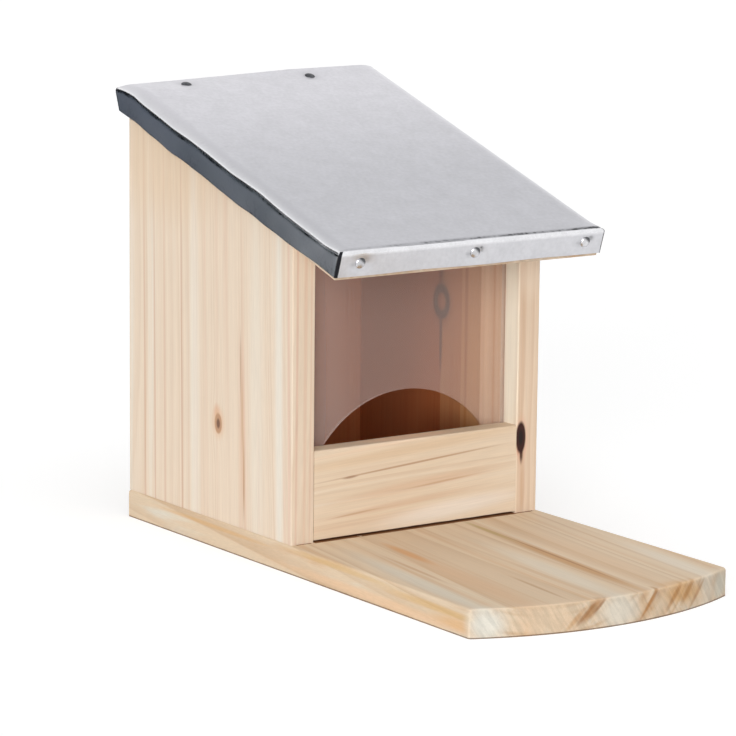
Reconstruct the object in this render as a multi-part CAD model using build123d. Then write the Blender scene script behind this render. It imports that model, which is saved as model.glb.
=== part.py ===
from build123d import *
import math
import os

# A wooden squirrel feeder: a small plank house on a long base board.
# The front third of the base is an open deck where the animal sits, and its front edge is bowed.
# The house has two side panels, a back panel between them, a low front board that holds the feed in,
# and a clear pane in grooves behind that board. An arch cut from the pane's foot is the feeding hole.
# A sloping roof board lies on the walls, under a folded sheet of galvanised steel.
# Two small butt hinges on the back let the roof swing up for filling.
# Millimetres. The origin is the centre of the base's underside, +Y is the back, +Z is up,
# and left and right are as seen from the front.

# Base board
base_length = 250.0
base_width = 120.0
base_thickness = 11.0
front_bow = 13.5
base_edge_round = 1.2
base_corner_round = 1.6

# House walls
house_side_inset = 1.0
house_depth = 120.0
side_thickness = 10.4
back_thickness = 10.4
board_edge_round = 0.5

# Front board
front_board_thickness = 8.6
front_board_height = 35.0
front_board_lift = 0.8
front_board_edge_round = 0.8

# Pane and its grooves
pane_thickness = 2.0
pane_side_play = 0.5
pane_top_play = 1.0
groove_width = 2.6
groove_depth = 4.0
groove_behind_board = 0.3
arch_leg_height = 5.3

# Roof board and its sheet
overall_height = 180.0
roof_pitch = 17.7
roof_board_thickness = 11.0
roof_board_edge_round = 1.9
sheet_side_overhang = 3.6
sheet_length = 167.0
sheet_thickness = 0.5
sheet_rear_overhang = 3.0
sheet_fold_depth = 10.2
sheet_bend_radius = 2.2
sheet_corner_seam = 0.6
sheet_rear_clip = 7.5
sheet_side_play = 0.15

# Hinges
hinge_side_inset = 23.0
hinge_length = 25.0
leaf_width = 7.0
leaf_thickness = 0.9
leaf_corner_round = 1.5
knuckle_radius = 2.0
knuckle_end_length = 8.0
knuckle_gap = 0.3
knuckle_standoff = 0.3
hinge_pin_radius = 1.1
hinge_pin_play = 0.05

# Hinge screws
screw_spacing = 14.0
screw_head_radius = 2.1
screw_head_rim = 0.2
screw_head_depth = 1.1
screw_shank_radius = 1.1
screw_length = 9.0
screw_tip_length = 2.5
screw_slot_length = 2.4
screw_slot_width = 0.5
screw_slot_depth = 0.5

# Round-headed nails that hold the sheet on the roof board, driven by eye and so a little off centre
roof_nail_head_radius = 2.2
roof_nail_head_height = 0.9
roof_nail_shank_radius = 0.8
roof_nail_length = 9.0
roof_nail_tip_length = 2.0
front_nail_spacing = 53.0
front_nail_shift = 1.4
front_nail_drop = 5.2
rear_nail_spacing = 60.0
rear_nail_shift = -4.0
rear_nail_run = 7.5
dome_radius_shares = (0.25, 0.6, 0.87, 1.0)
dome_height_shares = (1.0, 0.8, 0.45, 0.0)

# Flat-headed nails driven up through the base into the walls
base_nail_head_radius = 1.8
base_nail_head_height = 0.8
base_nail_shank_radius = 0.8
base_nail_length = 30.0
base_nail_tip_length = 2.0
base_nail_sink = 0.3
side_nail_end_distance = 15.0
cross_nail_spacing = 50.0

# Nails and screws are many-sided instead of round, and so are their holes
head_sides = 16
shank_sides = 8
point_radius = 0.1
fastener_play = 0.08

# Holes through the back panel for fixing the feeder to a trunk or wall
fixing_hole_radius = 2.5
fixing_hole_spacing = 80.0

# How far a cutting body runs past what it cuts
overrun = 2.0

# Places worked out from the sizes above
base_back_y = base_length / 2
base_front_y = -base_length / 2
house_width = base_width - 2 * house_side_inset
house_back_y = base_back_y
house_front_y = house_back_y - house_depth
inner_half_width = house_width / 2 - side_thickness
pitch_sin = math.sin(math.radians(roof_pitch))
pitch_cos = math.cos(math.radians(roof_pitch))
sheet_width = house_width + 2 * sheet_side_overhang
sheet_back_y = house_back_y + sheet_rear_overhang
board_top_drop = sheet_thickness
board_under_drop = sheet_thickness + roof_board_thickness
groove_front_y = house_front_y + front_board_thickness + groove_behind_board
pane_middle_y = groove_front_y + groove_width / 2


def roof_point(run, drop):
    """(y, z) of a point run down the slope from the sheet's rear edge and drop below its top face."""
    y = sheet_back_y - run * pitch_cos + drop * pitch_sin
    z = overall_height - run * pitch_sin - drop * pitch_cos
    return y, z


def run_at(y, drop):
    """Run down the slope of the point that lies at y, drop below the sheet's top face."""
    return (sheet_back_y - y + drop * pitch_sin) / pitch_cos


def seat_height(y):
    """Height at y of the roof board's underside, which the walls carry."""
    return roof_point(run_at(y, board_under_drop), board_under_drop)[1]


hinge_place = house_width / 2 - hinge_side_inset
hinge_axis_y = house_back_y + knuckle_standoff + knuckle_radius
hinge_axis_z = seat_height(house_back_y)
leaf_near_edge = knuckle_radius + knuckle_standoff
roof_down_slope = (0, -pitch_cos, -pitch_sin)
roof_normal = (0, -pitch_sin, pitch_cos)


def block(x_range, y_range, z_range):
    """Box between two limits on each axis."""
    (x0, x1), (y0, y1), (z0, z1) = x_range, y_range, z_range
    middle = Location(((x0 + x1) / 2, (y0 + y1) / 2, (z0 + z1) / 2))
    return middle * Box(x1 - x0, y1 - y0, z1 - z0)


def plank(outline, x_range):
    """Board whose (y, z) outline is carried across from the first x to the second."""
    x0, x1 = x_range
    profile = Polyline(*[(x0, y, z) for y, z in outline], close=True)
    return extrude(make_face(profile), amount=x1 - x0, dir=(1, 0, 0))


def frustum(sides, radii, heights):
    """Many-sided cone or cylinder about local Z with flat sides, and a radius at each of its two heights."""
    turns = [2 * math.pi * step / sides for step in range(sides)]
    low, high = [
        [(radius * math.cos(turn), radius * math.sin(turn), height) for turn in turns]
        for radius, height in zip(radii, heights)
    ]
    loops = [low, high]
    for step in range(sides):
        after = (step + 1) % sides
        loops.append([low[step], low[after], high[after], high[step]])
    return Solid(Shell([Face(Wire.make_polygon(loop)) for loop in loops]))


def pointed_shank(radius, start, length, tip):
    """Nail's or screw's shank from start down to its point."""
    shoulder = -(length - tip)
    straight = frustum(shank_sides, (radius, radius), (shoulder, start))
    return straight + frustum(shank_sides, (point_radius, radius), (-length, shoulder))


def screw(play=0.0):
    """Countersunk wood screw, head flush at local height zero. With play it is the hole for one."""
    head_radius = screw_head_radius + play
    shank_radius = screw_shank_radius + play
    cone = frustum(head_sides, (shank_radius, head_radius), (-screw_head_depth, -screw_head_rim))
    rim = frustum(head_sides, (head_radius, head_radius), (-screw_head_rim, overrun if play else 0))
    body = cone + rim + pointed_shank(shank_radius, -screw_head_depth, screw_length + play, screw_tip_length)
    if play:
        return body
    slot_span = (-screw_slot_length / 2, screw_slot_length / 2)
    slot_gap = (-screw_slot_width / 2, screw_slot_width / 2)
    slot_rise = (-screw_slot_depth, overrun)
    return body - block(slot_span, slot_gap, slot_rise) - block(slot_gap, slot_span, slot_rise)


def roof_nail(play=0.0):
    """Round-headed nail whose head sits on local height zero. With play it is the hole for its shank."""
    shank_radius = roof_nail_shank_radius + play
    top = overrun if play else 0
    shank = pointed_shank(shank_radius, top, roof_nail_length + play, roof_nail_tip_length)
    if play:
        return shank
    radii = [share * roof_nail_head_radius for share in dome_radius_shares]
    heights = [share * roof_nail_head_height for share in dome_height_shares]
    for step in range(len(radii) - 1):
        shank += frustum(head_sides, radii[step:step + 2], heights[step:step + 2])
    return shank


def base_nail(play=0.0):
    """Flat-headed nail, head outwards at local height zero. With play it is the hole for one."""
    head_radius = base_nail_head_radius + play
    head_foot = -base_nail_head_height - play
    head = frustum(head_sides, (head_radius, head_radius), (head_foot, overrun if play else 0))
    shank_radius = base_nail_shank_radius + play
    return head + pointed_shank(shank_radius, head_foot, base_nail_length + play, base_nail_tip_length)


def placed(body, spots, outwards):
    """One copy of the body at each spot, its local Z turned outwards."""
    return [Plane(origin=spot, z_dir=outwards).location * body for spot in spots]


def bored(board, holes):
    """The board without the holes."""
    for hole in holes:
        board -= hole
    return board


# Where the fasteners go
sheet_front_y, sheet_front_z = roof_point(sheet_length, front_nail_drop)
front_nail_columns = [front_nail_shift + step * front_nail_spacing for step in (-1, 0, 1)]
rear_nail_columns = [rear_nail_shift + step * rear_nail_spacing / 2 for step in (-1, 1)]
front_nail_spots = [(x, sheet_front_y, sheet_front_z) for x in front_nail_columns]
rear_nail_spots = [(x, *roof_point(rear_nail_run, 0)) for x in rear_nail_columns]
leaf_face_y = house_back_y + leaf_thickness
leaf_middle = leaf_near_edge + leaf_width / 2
screw_columns = [side * hinge_place + end * screw_spacing / 2 for side in (-1, 1) for end in (-1, 1)]
lower_screw_spots = [(x, leaf_face_y, hinge_axis_z - leaf_middle) for x in screw_columns]
upper_screw_spots = [(x, leaf_face_y, hinge_axis_z + leaf_middle) for x in screw_columns]
side_middle_x = inner_half_width + side_thickness / 2
side_nail_rows = [
    house_front_y + side_nail_end_distance,
    house_front_y + house_depth / 2,
    house_back_y - side_nail_end_distance,
]
side_nail_spots = [(side * side_middle_x, y, base_nail_sink) for side in (-1, 1) for y in side_nail_rows]
back_middle_y = house_back_y - back_thickness / 2
front_middle_y = house_front_y + front_board_thickness / 2
back_nail_spots = [(side * cross_nail_spacing / 2, back_middle_y, base_nail_sink) for side in (-1, 1)]
front_nail_foot_spots = [(side * cross_nail_spacing / 2, front_middle_y, base_nail_sink) for side in (-1, 1)]

down = (0, 0, -1)
backwards = (0, 1, 0)
side_nail_holes = placed(base_nail(fastener_play), side_nail_spots, down)
back_nail_holes = placed(base_nail(fastener_play), back_nail_spots, down)
front_board_nail_holes = placed(base_nail(fastener_play), front_nail_foot_spots, down)
lower_screw_holes = placed(screw(fastener_play), lower_screw_spots, backwards)
upper_screw_holes = placed(screw(fastener_play), upper_screw_spots, backwards)
front_nail_holes = placed(roof_nail(fastener_play), front_nail_spots, roof_down_slope)
rear_nail_holes = placed(roof_nail(fastener_play), rear_nail_spots, roof_normal)


def base_board():
    """Plank with a bowed front edge, its upper outline rubbed round, nailed to the walls from below."""
    left, right = -base_width / 2, base_width / 2
    corner_y = base_front_y + front_bow
    outline = [
        Line((left, base_back_y), (right, base_back_y)),
        Line((right, base_back_y), (right, corner_y)),
        ThreePointArc((right, corner_y), (0, base_front_y), (left, corner_y)),
        Line((left, corner_y), (left, base_back_y)),
    ]
    plan = make_face(Curve() + outline)
    plan = fillet(plan.vertices(), base_corner_round)
    board = extrude(plan, amount=base_thickness, dir=(0, 0, 1))
    board = fillet(board.faces().sort_by(Axis.Z)[-1].edges(), base_edge_round)
    return bored(board, side_nail_holes + back_nail_holes + front_board_nail_holes)


def side_panel(side):
    """Side wall with its top sloped for the roof and a full-height groove for the pane. side is -1 or 1."""
    inner_x, outer_x = side * inner_half_width, side * house_width / 2
    outline = [
        (house_front_y, base_thickness),
        (house_back_y, base_thickness),
        (house_back_y, seat_height(house_back_y)),
        (house_front_y, seat_height(house_front_y)),
    ]
    wall = plank(outline, sorted((inner_x, outer_x)))
    wall = fillet(wall.edges().filter_by(Axis.Z), board_edge_round)
    groove_x = sorted((inner_x - side * overrun, inner_x + side * groove_depth))
    groove_y = (groove_front_y, groove_front_y + groove_width)
    wall -= block(groove_x, groove_y, (0, overall_height))
    return bored(wall, side_nail_holes)


def back_panel():
    """Back wall between the sides, bevelled under the roof, with two fixing holes."""
    front_face_y = house_back_y - back_thickness
    outline = [
        (front_face_y, base_thickness),
        (house_back_y, base_thickness),
        (house_back_y, seat_height(house_back_y)),
        (front_face_y, seat_height(front_face_y)),
    ]
    wall = plank(outline, (-inner_half_width, inner_half_width))
    fixing_hole = Cylinder(fixing_hole_radius, back_thickness + overrun)
    middle_z = (base_thickness + seat_height(house_back_y)) / 2
    heights = (middle_z - fixing_hole_spacing / 2, middle_z + fixing_hole_spacing / 2)
    fixing_holes = placed(fixing_hole, [(0, back_middle_y, z) for z in heights], backwards)
    return bored(wall, fixing_holes + lower_screw_holes + back_nail_holes)


def front_board():
    """Low board across the front, a hair above the base, that keeps the feed in."""
    bottom = base_thickness + front_board_lift
    y_range = (house_front_y, house_front_y + front_board_thickness)
    board = block((-inner_half_width, inner_half_width), y_range, (bottom, bottom + front_board_height))
    top_edges = board.faces().sort_by(Axis.Z)[-1].edges().filter_by(Axis.X)
    board = fillet(top_edges, front_board_edge_round)
    return bored(board, front_board_nail_holes)


def window_pane():
    """Clear sheet in the side grooves, arched at its foot as wide as the space between the walls."""
    half_width = inner_half_width + groove_depth - pane_side_play
    front_face_y = pane_middle_y - pane_thickness / 2
    top = seat_height(front_face_y) - pane_top_play
    y_range = (front_face_y, front_face_y + pane_thickness)
    sheet = block((-half_width, half_width), y_range, (base_thickness, top))
    arch_centre_z = base_thickness + arch_leg_height
    arch = Plane(origin=(0, pane_middle_y, arch_centre_z), z_dir=backwards).location
    arch = arch * Cylinder(inner_half_width, pane_thickness + overrun)
    below = block((-inner_half_width, inner_half_width), (house_front_y, house_back_y), (0, arch_centre_z))
    return sheet - arch - below


def roof_board():
    """Sloping board, square at the front and plumb at the back so that the hinges lie flat on both boards."""
    front_run = sheet_length - sheet_thickness - sheet_side_play
    outline = [
        roof_point(run_at(house_back_y, board_under_drop), board_under_drop),
        roof_point(run_at(house_back_y, board_top_drop), board_top_drop),
        roof_point(front_run, board_top_drop),
        roof_point(front_run, board_under_drop),
    ]
    half_width = sheet_width / 2 - sheet_thickness - sheet_side_play
    board = plank(outline, (-half_width, half_width))
    top_face = board.faces().sort_by(Axis((0, 0, 0), roof_normal))[-1]
    edges_under_bends = top_face.edges().sort_by(Axis.Y)[:-1]
    board = fillet(edges_under_bends, roof_board_edge_round)
    drip_edge = board.edges().filter_by(Axis.X).sort_by(Axis.Z)[0]
    board = fillet(drip_edge, board_edge_round)
    return bored(board, front_nail_holes + rear_nail_holes + upper_screw_holes)


def roof_sheet():
    """Galvanised sheet over the roof board, folded down at both sides and the front, open at the back."""
    half_width = sheet_width / 2
    outer = block((-half_width, half_width), (-sheet_length, 0), (-sheet_fold_depth, 0))
    inner_half = half_width - sheet_thickness
    inner_front = -sheet_length + sheet_thickness
    inner_bottom = -sheet_fold_depth - overrun
    inner = block((-inner_half, inner_half), (inner_front, overrun), (inner_bottom, -sheet_thickness))
    outer = fillet(folded_edges(outer), sheet_bend_radius)
    inner = fillet(folded_edges(inner), sheet_bend_radius - sheet_thickness)
    sheet = outer - inner
    for side in (-1, 1):
        flange_x = sorted((side * (inner_half - overrun), side * (half_width + overrun)))
        seam_y = (inner_front, inner_front + sheet_corner_seam)
        sheet -= block(flange_x, seam_y, (inner_bottom, -sheet_bend_radius))
        clip = Polyline(
            (flange_x[0], 0, -sheet_bend_radius),
            (flange_x[0], -sheet_rear_clip, -sheet_fold_depth),
            (flange_x[0], -sheet_rear_clip, inner_bottom),
            (flange_x[0], overrun, inner_bottom),
            (flange_x[0], overrun, -sheet_bend_radius),
            close=True,
        )
        sheet -= extrude(make_face(clip), amount=flange_x[1] - flange_x[0], dir=(1, 0, 0))
    slope = Plane(origin=(0, sheet_back_y, overall_height), x_dir=(1, 0, 0), z_dir=roof_normal)
    return bored(slope.location * sheet, front_nail_holes + rear_nail_holes)


def folded_edges(slab):
    """The slab's top edges at its two sides and its front."""
    top = slab.faces().sort_by(Axis.Z)[-1]
    return top.edges().filter_by(Axis.Y) + top.edges().sort_by(Axis.Y)[:1]


def hinge_leaf(side, upwards):
    """One leaf of a butt hinge with its knuckles. side is -1 or 1, and upwards is 1 for the roof's leaf,
    which has the middle knuckle, or -1 for the back panel's, which has the two outer ones."""
    middle_x = side * hinge_place
    half_length = hinge_length / 2
    far_edge = leaf_near_edge + leaf_width
    z_range = sorted((hinge_axis_z + upwards * leaf_near_edge, hinge_axis_z + upwards * far_edge))
    plate = block((middle_x - half_length, middle_x + half_length), (house_back_y, leaf_face_y), z_range)
    corners = plate.edges().filter_by(Axis.Y).sort_by(Axis.Z)
    leaf = fillet(corners[-2:] if upwards > 0 else corners[:2], leaf_corner_round)
    end_span = (-half_length, -half_length + knuckle_end_length)
    middle_start = end_span[1] + knuckle_gap
    if upwards > 0:
        spans = [(middle_start, -middle_start)]
    else:
        spans = [end_span, (-end_span[1], -end_span[0])]
    strap_z = sorted((hinge_axis_z, hinge_axis_z + upwards * (leaf_near_edge + leaf_thickness)))
    for start, end in spans:
        leaf += block((middle_x + start, middle_x + end), (house_back_y, leaf_face_y), strap_z)
        barrel_middle = (middle_x + (start + end) / 2, hinge_axis_y, hinge_axis_z)
        barrel = Cylinder(knuckle_radius, end - start)
        leaf += Plane(origin=barrel_middle, z_dir=(1, 0, 0)).location * barrel
    bore = Cylinder(hinge_pin_radius + hinge_pin_play, hinge_length + overrun)
    leaf -= Plane(origin=(middle_x, hinge_axis_y, hinge_axis_z), z_dir=(1, 0, 0)).location * bore
    return bored(leaf, upper_screw_holes if upwards > 0 else lower_screw_holes)


def hinge_pin(side):
    """Plain pin through the knuckles, flush at both ends."""
    middle = Plane(origin=(side * hinge_place, hinge_axis_y, hinge_axis_z), z_dir=(1, 0, 0))
    return middle.location * Cylinder(hinge_pin_radius, hinge_length)


def group(bodies):
    """Several separate solids in one node."""
    return Compound(children=list(bodies))


nodes = {
    "base_board": base_board(),
    "left_side_panel": side_panel(-1),
    "right_side_panel": side_panel(1),
    "back_panel": back_panel(),
    "front_board": front_board(),
    "window_pane": window_pane(),
    "roof_board": roof_board(),
    "roof_sheet": roof_sheet(),
    "roof_front_nails": group(placed(roof_nail(), front_nail_spots, roof_down_slope)),
    "roof_rear_nails": group(placed(roof_nail(), rear_nail_spots, roof_normal)),
    "lower_leaf_screws": group(placed(screw(), lower_screw_spots, backwards)),
    "upper_leaf_screws": group(placed(screw(), upper_screw_spots, backwards)),
    "side_panel_nails": group(placed(base_nail(), side_nail_spots, down)),
    "back_panel_nails": group(placed(base_nail(), back_nail_spots, down)),
    "front_board_nails": group(placed(base_nail(), front_nail_foot_spots, down)),
}
for hand, side in (("left", -1), ("right", 1)):
    nodes[f"{hand}_hinge_lower_leaf"] = hinge_leaf(side, -1)
    nodes[f"{hand}_hinge_upper_leaf"] = hinge_leaf(side, 1)
    nodes[f"{hand}_hinge_pin"] = hinge_pin(side)

os.makedirs("parts", exist_ok=True)
for name, shape in nodes.items():
    export_step(shape, f"parts/{name}.step")
    print(name, "solids", len(shape.solids()), "volume", round(shape.volume, 1))
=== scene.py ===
# %% [markdown]
# # A wooden squirrel feeder with a folded zinc roof
# The object is a small plank house on a long base board. Its construction arrives finished, as fixed parts in
# metres. What is added here is what the eye meets: the grain of the planks, the folded sheet with its dents,
# the hazy pane, the round nail heads, and a plain studio round it all.

# %% Load the construction
import math

import bpy
import numpy as np
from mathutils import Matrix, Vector


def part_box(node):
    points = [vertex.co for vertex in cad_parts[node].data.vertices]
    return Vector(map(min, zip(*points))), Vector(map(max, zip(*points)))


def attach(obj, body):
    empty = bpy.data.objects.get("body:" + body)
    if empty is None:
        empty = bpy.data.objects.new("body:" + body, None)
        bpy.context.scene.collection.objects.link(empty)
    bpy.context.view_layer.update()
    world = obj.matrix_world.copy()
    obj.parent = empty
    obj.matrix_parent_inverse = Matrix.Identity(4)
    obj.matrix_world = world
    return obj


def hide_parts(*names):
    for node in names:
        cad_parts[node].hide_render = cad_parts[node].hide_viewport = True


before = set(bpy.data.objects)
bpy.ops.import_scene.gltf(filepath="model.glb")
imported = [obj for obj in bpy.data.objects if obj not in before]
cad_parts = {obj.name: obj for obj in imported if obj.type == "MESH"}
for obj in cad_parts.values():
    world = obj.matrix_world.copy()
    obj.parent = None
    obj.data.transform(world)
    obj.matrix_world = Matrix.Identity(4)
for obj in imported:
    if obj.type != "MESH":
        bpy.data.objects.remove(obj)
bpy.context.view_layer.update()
mm = 0.001

# %% [markdown]
# ## The camera
# The view was worked out from corners of the object whose real places are known. A long lens far away gives
# the mild perspective of a product photograph. The camera looks at a target on the feeder's middle plane, and
# its small roll is the slight tilt of the picture.

# %% The camera
frame_pixels = 736
sensor_width = 36.0
focal_pixels = 3532.3
azimuth = math.radians(-34.9)
elevation = math.radians(10.36)
roll = math.radians(0.6)
camera_distance = 1404.6 * mm
camera_target = np.array([0.0, 39.3, 69.3]) * mm


def outward(azimuth, elevation):
    """Unit vector from the feeder towards a point at these angles: x = sin a cos e, y = -cos a cos e, z = sin e."""
    return np.array([
        math.sin(azimuth) * math.cos(elevation), -math.cos(azimuth) * math.cos(elevation), math.sin(elevation)])


def stand(name, data, right, up, back, place):
    """A camera or lamp that stands at a place, its own axes given as three unit vectors."""
    made = bpy.data.objects.new(name, data)
    bpy.context.scene.collection.objects.link(made)
    rows = np.eye(4)
    rows[:3] = np.stack([right, up, back, place], axis=-1)
    made.matrix_world = rows.T.tolist()
    return made


backwards = outward(azimuth, elevation)
level_right = np.cross(-backwards, [0.0, 0.0, 1.0])
level_right /= np.linalg.norm(level_right)
level_up = np.cross(level_right, -backwards)
lens = bpy.data.cameras.new("camera")
lens.sensor_width = sensor_width
lens.lens = focal_pixels / frame_pixels * sensor_width
lens.clip_start = 0.05
lens.clip_end = 50.0
bpy.context.scene.camera = stand(
    "camera", lens,
    level_right * math.cos(roll) + level_up * math.sin(roll),
    level_up * math.cos(roll) - level_right * math.sin(roll),
    backwards, camera_target + backwards * camera_distance)
print("lens in mm", round(lens.lens, 1))

# %% [markdown]
# ## Small helpers for materials
# Colours are written as the hex values that a colour picker shows, and one function turns them into the linear
# light that shaders mix. One more function adds a shader node, sets it and links it. The short ones after it each
# name a kind of step, so that a material reads from top to bottom as a list of steps.

# %% Colour and node helpers


def linear(hex_colour):
    """Linear colour of an sRGB hex value: c / 12.92 near black, otherwise ((c + 0.055) / 1.055) to the 2.4."""
    parts = np.array([int(hex_colour[place:place + 2], 16) for place in (1, 3, 5)]) / 255
    light = np.where(parts <= 0.04045, parts / 12.92, ((parts + 0.055) / 1.055) ** 2.4)
    return (*light.tolist(), 1.0)


def grey(value):
    """A colour stop that carries a number."""
    return (value, value, value, 1.0)


def node(tree, kind, inputs=None, stops=(), **settings):
    """One shader node with its settings. An input takes a value, or the output socket of another node. Stops
    are the places and colours of a colour ramp, its two outermost first."""
    made = tree.nodes.new("ShaderNode" + kind)
    for name, value in settings.items():
        setattr(made, name, value)
    for name, value in (inputs or {}).items():
        if isinstance(value, bpy.types.NodeSocket):
            tree.links.new(value, made.inputs[name])
        else:
            made.inputs[name].default_value = value
    for place, colour in stops[2:]:
        made.color_ramp.elements.new(place)
    for number, (place, colour) in enumerate(sorted(stops)):
        made.color_ramp.elements[number].position = place
        made.color_ramp.elements[number].color = colour
    return made


def step(tree, operation, *values, **settings):
    """The number that a maths node makes of its values."""
    return node(tree, "Math", dict(enumerate(values)), operation=operation, **settings).outputs[0]


def vector_step(tree, operation, *values, gives="Vector"):
    """The vector, or with gives="Value" the number, that a vector maths node makes of its values."""
    return node(tree, "VectorMath", dict(enumerate(values)), operation=operation).outputs[gives]


def mapped(tree, place, scale=(1, 1, 1), rotation=(0, 0, 0)):
    """The place scaled and then turned."""
    return node(tree, "Mapping", {"Vector": place, "Scale": scale, "Rotation": rotation}).outputs["Vector"]


def noise(tree, place, size, detail, roughness=0.5, gives="Fac"):
    """Noise whose lumps are about as wide as the size."""
    return node(tree, "TexNoise", {
        "Vector": place, "Scale": 1 / size, "Detail": detail, "Roughness": roughness}).outputs[gives]


def carried(tree, value, start=(0.0, 1.0), end=(0.0, 1.0), way="LINEAR"):
    """The value carried from the start range into the end range and held at its limits."""
    return node(tree, "MapRange", {
        "Value": value, "From Min": start[0], "From Max": start[1], "To Min": end[0], "To Max": end[1]},
        interpolation_type=way).outputs["Result"]


def ramp(tree, value, *stops):
    """The colour that a ramp of stops gives for the value."""
    return node(tree, "ValToRGB", {"Fac": value}, stops=stops).outputs["Color"]


def mix(tree, amount, first, second, blend="MIX"):
    """The first colour, turned into the second, or with MULTIPLY into the product of both, by the amount."""
    return node(tree, "Mix", {"Factor": amount, "A": first, "B": second}, data_type="RGBA",
                blend_type=blend).outputs["Result"]


def raised(tree, height, strength, depth):
    """Directions of a face that a height raises by up to the depth."""
    return node(tree, "Bump", {"Height": height, "Strength": strength, "Distance": depth}).outputs["Normal"]


def new_material(name):
    """An empty node material and its tree."""
    material = bpy.data.materials.new(name)
    material.use_nodes = True
    material.node_tree.nodes.clear()
    return material, material.node_tree


def coat(tree, inputs):
    """Ends a material with one shader that has these inputs."""
    shader = node(tree, "BsdfPrincipled", inputs)
    node(tree, "OutputMaterial", {"Surface": shader.outputs["BSDF"]})


def dress(name, material):
    """Gives a construction part its material."""
    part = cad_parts[name]
    part.data.materials.clear()
    part.data.materials.append(material)


# %% [markdown]
# ## Planed spruce
# The planks are untreated spruce, planed and left raw. A tree's growth rings are nested tubes round its pith,
# so the grain of any cut follows from one question: how far does each point of the plank lie from the pith
# line? Each ring is pale spring wood that darkens slowly into a thin band of summer wood and then stops
# sharply. The same rule draws lines along the faces, arches where the cut slips off a tube, and arcs on the
# end grain, so faces and ends agree at every edge.
#
# The pith line wanders a little. Broad strips of warmer and greyer wood, fine fibres, and a few marks that
# this particular wood shows lie over the rings. The walls and floor inside the house are painted redder and darker,
# as painted shade and bounce light, and that is what turns the view through the feeding hole a deep brown.

# %% Spruce
fibre_width = 0.4 * mm
fibre_length = 22 * mm
strip_width = 7.5 * mm
strip_length = 900 * mm
wander_length = 90 * mm
wander_stretch = 4
wander_reach = 8 * mm
mark_wander = 0.12
ring_drift = 3.0
ring_drift_rate = 0.35
faintest_ring = 0.2
sawn_end_range = (0.6, 0.9)
saw_mark_width = 1.5 * mm
saw_mark_length = 11 * mm
saw_mark_slant = math.radians(38)
knot_spread = -0.16
knot_border = (1.4, 0.75)
mark_border = (1.0, 0.25)
box_border_length = 9 * mm
ring_relief = 0.6
stroke_relief = 2.0
wood_relief = 0.12 * mm
# Painted shade and bounce light: the wood inside the house is multiplied by this deep red-brown.
inside = ((-48.75, 15.2, 10.9), (48.75, 114.7, 400.0), "#D28B60", 0.0)
# Painted shade on the inner face of the right wall: least just behind the pane, deepest towards the back.
near_pane, before_knot, at_knot, behind_knot = (
    ((48.0, start, 10.9), (48.75, end, 400.0), tone, 0.0) for start, end, tone in (
        (15.2, 30.0, "#FFEEDC"), (30.0, 43.0, "#DBB993"), (43.0, 57.0, "#CB9A74"), (57.0, 114.7, "#B97750")))


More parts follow.
